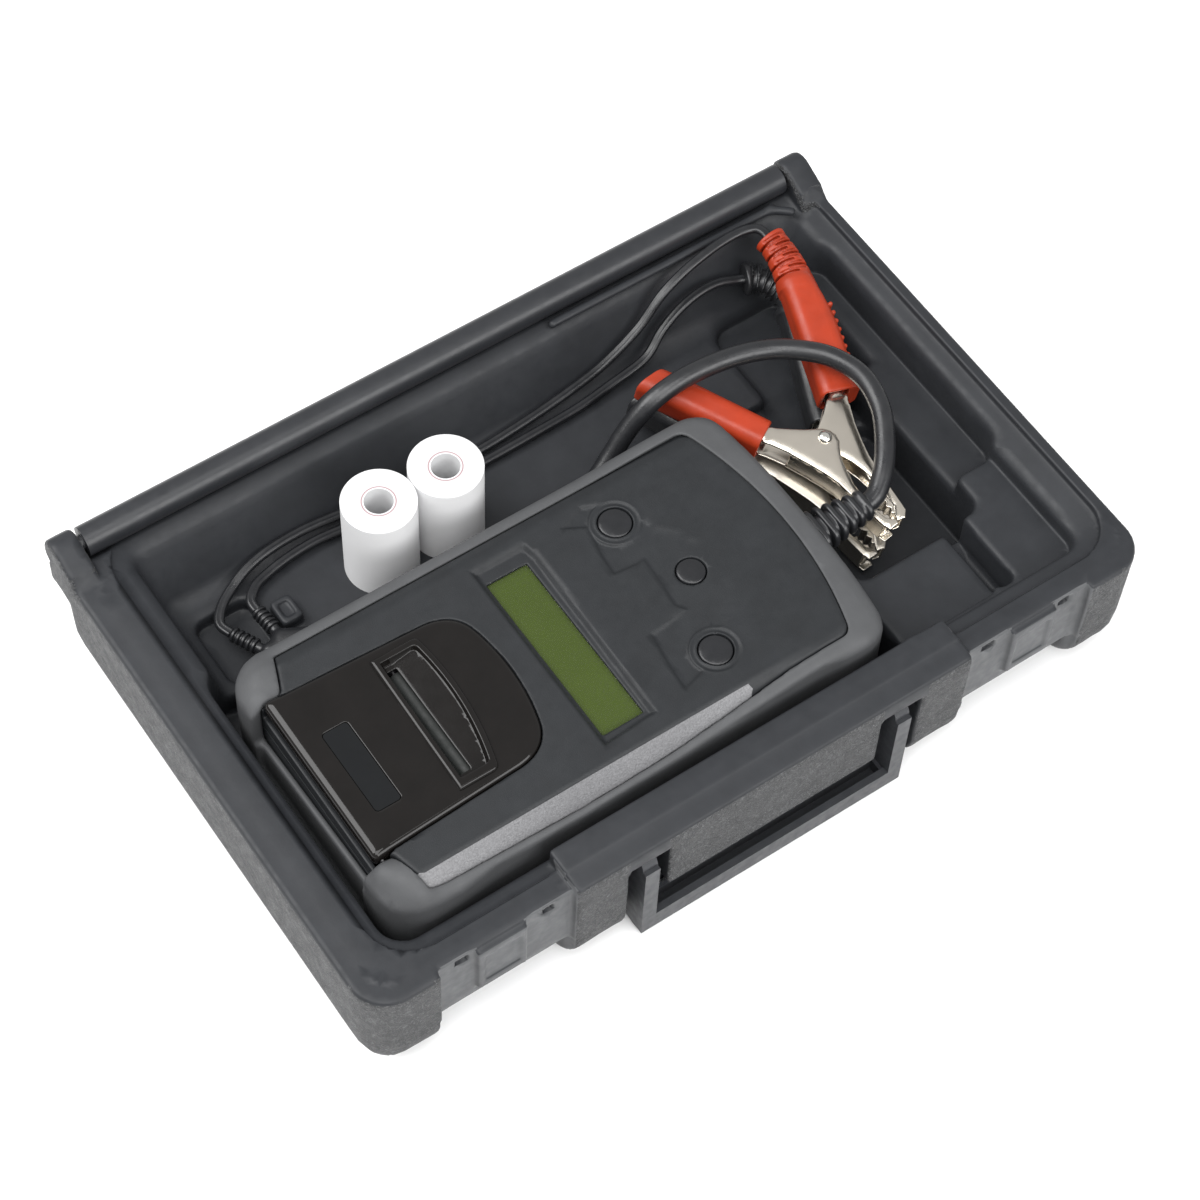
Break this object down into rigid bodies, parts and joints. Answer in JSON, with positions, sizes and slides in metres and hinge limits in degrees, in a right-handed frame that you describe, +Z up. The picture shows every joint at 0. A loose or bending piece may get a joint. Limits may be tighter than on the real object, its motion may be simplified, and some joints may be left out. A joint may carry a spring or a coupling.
{
  "type": "battery tester",
  "caption": "Handheld vehicle battery tester with built-in strip printer, clamp leads and spare paper, lying in the lower tray of its moulded carry case.",
  "frame": {"origin": "on the ground under the middle of the whole kit without its free cords", "axes": "+X along the tray towards the tester's cable end, +Y towards the lid hinge, +Z up"},
  "size_m": [0.4688, 0.3129, 0.0981],
  "materials": {
    "case_plastic": "textured dark grey",
    "rod_plastic": "satin",
    "shell_plastic": "fine texture",
    "boot_rubber": "smooth",
    "gloss_black": "gloss",
    "black_plastic": "satin",
    "key_plastic": "satin",
    "steel": "satin",
    "nickel": "nickel plate",
    "platen_rubber": "matt",
    "gear_plastic": "natural",
    "brass": "satin",
    "ceramic": "glazed",
    "paper": "smooth",
    "core_card": "matt",
    "window": "clear",
    "lcd_glass": "olive display",
    "pcb": "solder mask",
    "cell_wrap": "plain wrap",
    "cord_rubber": "satin",
    "red_vinyl": "soft gloss",
    "black_vinyl": "soft gloss"
  },
  "bodies": {
    "case": {"case_tray": "case_plastic", "handle_pins": "steel"},
    "lid_hinge": {"hinge_barrel": "rod_plastic"},
    "handle": {"carry_handle": "rod_plastic"},
    "tester": {"bottom_shell": "shell_plastic", "top_shell": "shell_plastic", "rubber_boot": "boot_rubber", "door_hinge_pin": "steel", "paper_bucket": "black_plastic", "printer_frame": "black_plastic", "feed_motor": "steel", "thermal_head": "ceramic", "tear_bar": "steel", "lcd_window": "window", "lcd_panel": "lcd_glass", "lcd_module": "pcb", "main_board": "pcb", "board_screws": "steel", "key_mat": "platen_rubber", "battery_cells": "cell_wrap", "battery_contacts": "nickel", "battery_cover": "shell_plastic", "cover_screws": "steel", "shell_screws": "steel", "cable_relief": "cord_rubber", "main_cable": "cord_rubber", "y_splitter": "cord_rubber", "red_lead": "cord_rubber", "black_lead": "cord_rubber", "red_fixed_jaw": "nickel", "red_fixed_grip": "red_vinyl", "red_rivet": "nickel", "red_spring": "steel", "black_fixed_jaw": "nickel", "black_fixed_grip": "black_vinyl", "black_rivet": "nickel", "black_spring": "steel"},
    "door": {"printer_door": "gloss_black", "slot_bezel": "gloss_black", "door_window": "gloss_black"},
    "platen": {"platen_shaft": "steel", "platen_rubber": "platen_rubber", "platen_gear": "gear_plastic"},
    "idler": {"idler_gear": "gear_plastic"},
    "pinion": {"motor_pinion": "brass"},
    "paper_supply": {"loaded_paper": "paper", "loaded_core": "core_card"},
    "left_key": {"key_left": "key_plastic"},
    "middle_key": {"key_middle": "key_plastic"},
    "right_key": {"key_right": "key_plastic"},
    "red_jaw": {"red_moving_jaw": "nickel", "red_moving_grip": "red_vinyl"},
    "black_jaw": {"black_moving_jaw": "nickel", "black_moving_grip": "black_vinyl"},
    "roll_1": {"spare_paper_1": "paper", "spare_core_1": "core_card"},
    "roll_2": {"spare_paper_2": "paper", "spare_core_2": "core_card"}
  },
  "joints": [
    {"name": "tester_lift", "type": "slide", "parent": "case", "child": "tester", "axis": [0, 0, 1], "range_m": [0, 0.12]},
    {"name": "roll_1_lift", "type": "slide", "parent": "case", "child": "roll_1", "axis": [0, 0, 1], "range_m": [0, 0.08]},
    {"name": "roll_2_lift", "type": "slide", "parent": "case", "child": "roll_2", "axis": [0, 0, 1], "range_m": [0, 0.08]},
    {"name": "lid_hinge_turn", "type": "hinge", "parent": "case", "child": "lid_hinge", "pos_m": [0, 0.1459, 0.0842], "axis": [1, 0, 0], "continuous": true},
    {"name": "handle_swing", "type": "hinge", "parent": "case", "child": "handle", "pos_m": [0, -0.1475, 0.063], "axis": [-1, 0, 0], "range_deg": [0, 57]},
    {"name": "door_open", "type": "hinge", "parent": "tester", "child": "door", "pos_m": [-0.1875, -0.0413, 0.0875], "axis": [0, -1, 0], "range_deg": [0, 80]},
    {"name": "platen_spin", "type": "hinge", "parent": "tester", "child": "platen", "pos_m": [-0.127, -0.0413, 0.0835], "axis": [0, 1, 0], "continuous": true},
    {"name": "idler_spin", "type": "hinge", "parent": "tester", "child": "idler", "pos_m": [-0.1165, -0.0838, 0.0745], "axis": [0, 1, 0], "continuous": true},
    {"name": "pinion_spin", "type": "hinge", "parent": "tester", "child": "pinion", "pos_m": [-0.1096, -0.0838, 0.0653], "axis": [0, 1, 0], "continuous": true},
    {"name": "paper_spin", "type": "hinge", "parent": "tester", "child": "paper_supply", "pos_m": [-0.164, -0.0413, 0.0595], "axis": [0, 1, 0], "continuous": true},
    {"name": "left_key_press", "type": "slide", "parent": "tester", "child": "left_key", "axis": [0, 0, -1], "range_m": [0, 0.001], "stiffness_N_per_m": 900},
    {"name": "middle_key_press", "type": "slide", "parent": "tester", "child": "middle_key", "axis": [0, 0, -1], "range_m": [0, 0.001], "stiffness_N_per_m": 900},
    {"name": "right_key_press", "type": "slide", "parent": "tester", "child": "right_key", "axis": [0, 0, -1], "range_m": [0, 0.001], "stiffness_N_per_m": 900},
    {"name": "red_jaw_open", "type": "hinge", "parent": "tester", "child": "red_jaw", "pos_m": [0.1416, 0.0007, 0.063], "axis": [0, 0.1736, -0.9848], "range_deg": [0, 15], "stiffness_Nm_per_rad": 2},
    {"name": "black_jaw_open", "type": "hinge", "parent": "tester", "child": "black_jaw", "pos_m": [0.136, 0.002, 0.041], "axis": [0, 0.1736, -0.9848], "range_deg": [0, 15], "stiffness_Nm_per_rad": 2}
  ],
  "couplings": [
    {"joint": "platen_spin", "follows": "idler_spin", "ratio": -1.375},
    {"joint": "pinion_spin", "follows": "idler_spin", "ratio": -2.2}
  ]
}
